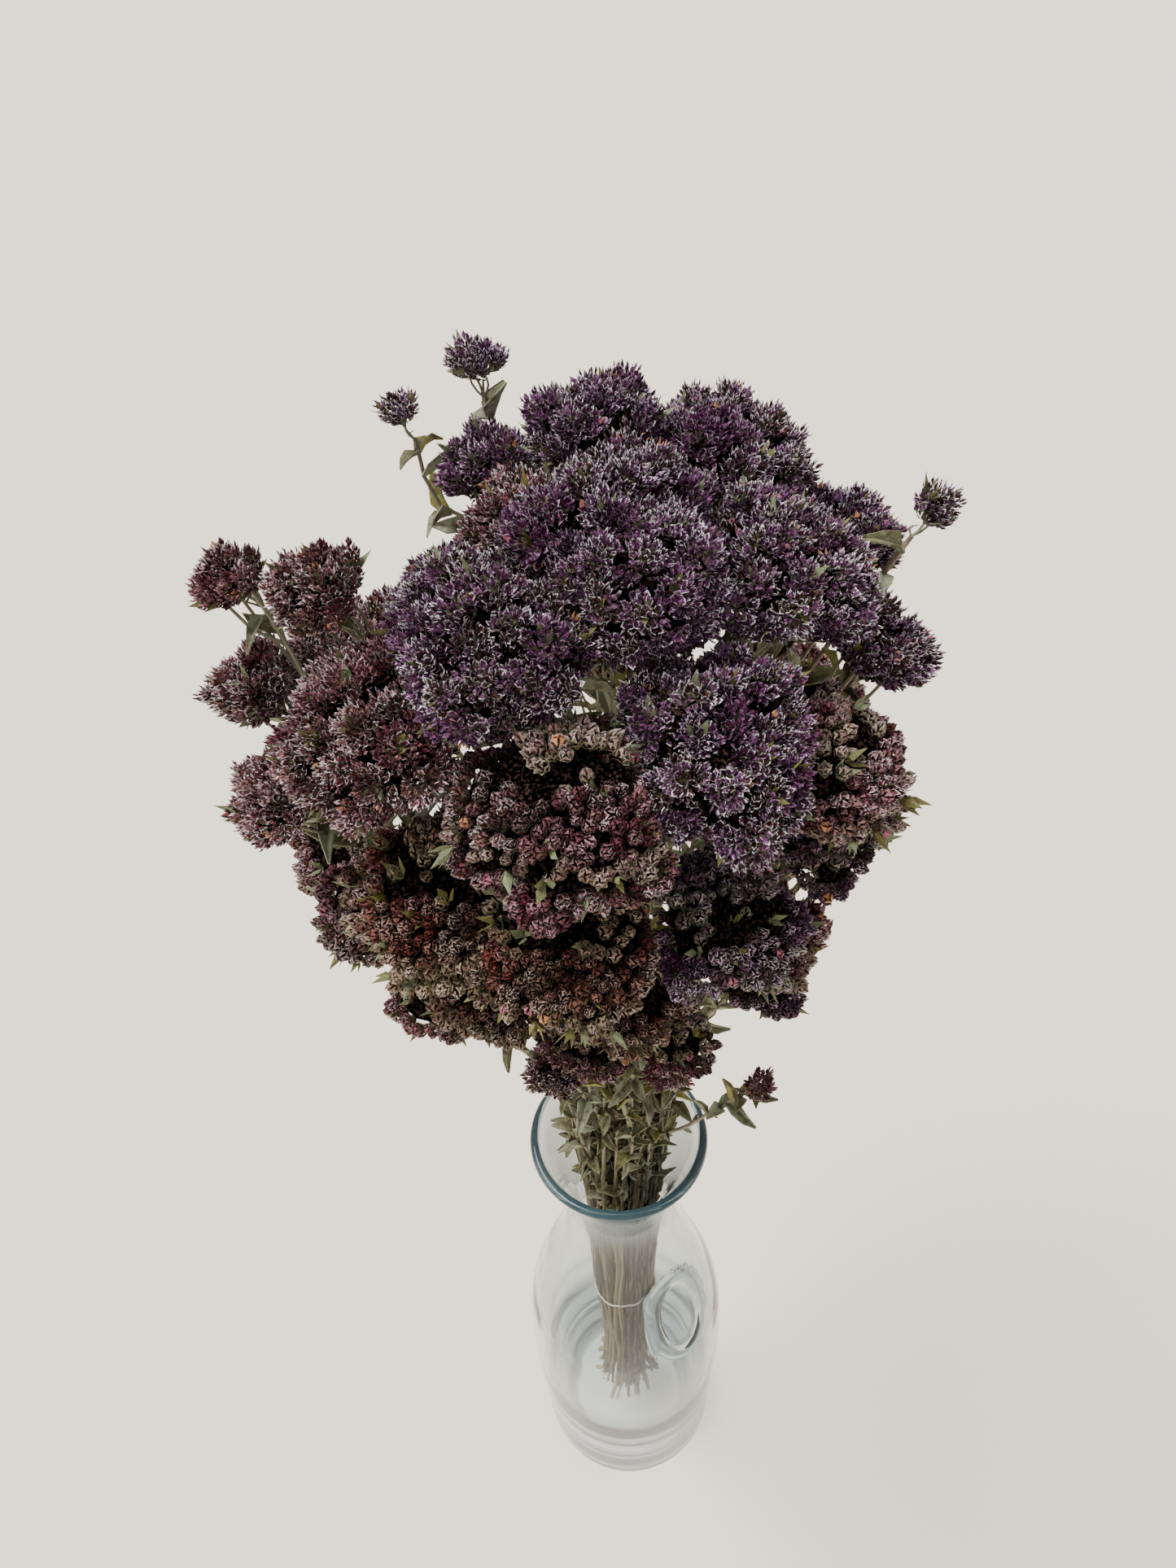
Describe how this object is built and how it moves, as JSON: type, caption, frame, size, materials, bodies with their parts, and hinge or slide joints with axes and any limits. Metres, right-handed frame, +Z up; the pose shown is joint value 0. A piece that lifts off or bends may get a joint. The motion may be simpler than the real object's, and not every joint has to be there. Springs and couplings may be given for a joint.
{
  "type": "dried oregano bunch in a glass carafe",
  "caption": "Standing bunch of dried flowering oregano: square stems tied at the waist, domed violet and wine-red heads, in a clear glass carafe with a flared lip.",
  "frame": {"origin": "middle of the carafe's base, on the surface that it stands on", "axes": "+Z up along the carafe's axis, -Y towards the front of the bunch, +X to its right"},
  "size_m": [0.1687, 0.1742, 0.535],
  "materials": {
    "glass": "clear, slightly blue-green, polished, with soft waves",
    "tie": "thin pale band, matt",
    "stem": "dry, matt, finely ribbed, straw to sage",
    "violet_florets": "dry, velvety, lilac-white at the tips",
    "wine_florets": "dry, velvety, pale at the tips",
    "russet_florets": "dry, velvety, sage at the undersides"
  },
  "bodies": {
    "root": {"carafe": "glass", "tie": "tie", "stems_01": "stem", "stems_02": "stem", "stems_03": "stem", "stems_04": "stem", "stems_05": "stem", "stems_06": "stem", "stems_07": "stem", "stems_08": "stem", "stems_09": "stem", "stems_10": "stem", "stems_11": "stem", "corymb_01": "violet_florets", "corymb_02": "violet_florets", "corymb_03": "violet_florets", "corymb_04": "violet_florets", "corymb_05": "wine_florets", "corymb_06": "wine_florets", "corymb_07": "violet_florets", "corymb_08": "violet_florets", "corymb_09": "violet_florets", "corymb_10": "violet_florets", "corymb_11": "wine_florets", "corymb_12": "wine_florets", "corymb_13": "violet_florets", "corymb_14": "violet_florets", "corymb_15": "wine_florets", "corymb_16": "violet_florets", "corymb_17": "wine_florets", "corymb_18": "russet_florets", "corymb_19": "russet_florets", "corymb_20": "violet_florets", "corymb_21": "violet_florets", "corymb_22": "russet_florets", "corymb_23": "wine_florets", "corymb_24": "wine_florets", "corymb_25": "russet_florets", "corymb_26": "wine_florets", "corymb_27": "wine_florets", "corymb_28": "wine_florets", "corymb_29": "wine_florets", "corymb_30": "wine_florets", "corymb_31": "wine_florets", "corymb_32": "wine_florets", "corymb_33": "wine_florets", "corymb_34": "violet_florets", "corymb_35": "wine_florets", "corymb_36": "wine_florets", "corymb_37": "wine_florets", "corymb_38": "wine_florets", "corymb_39": "wine_florets", "corymb_40": "wine_florets", "corymb_41": "wine_florets", "corymb_42": "wine_florets", "corymb_43": "violet_florets", "corymb_44": "violet_florets", "corymb_45": "violet_florets", "corymb_46": "wine_florets", "corymb_47": "wine_florets"}
  },
  "joints": []
}
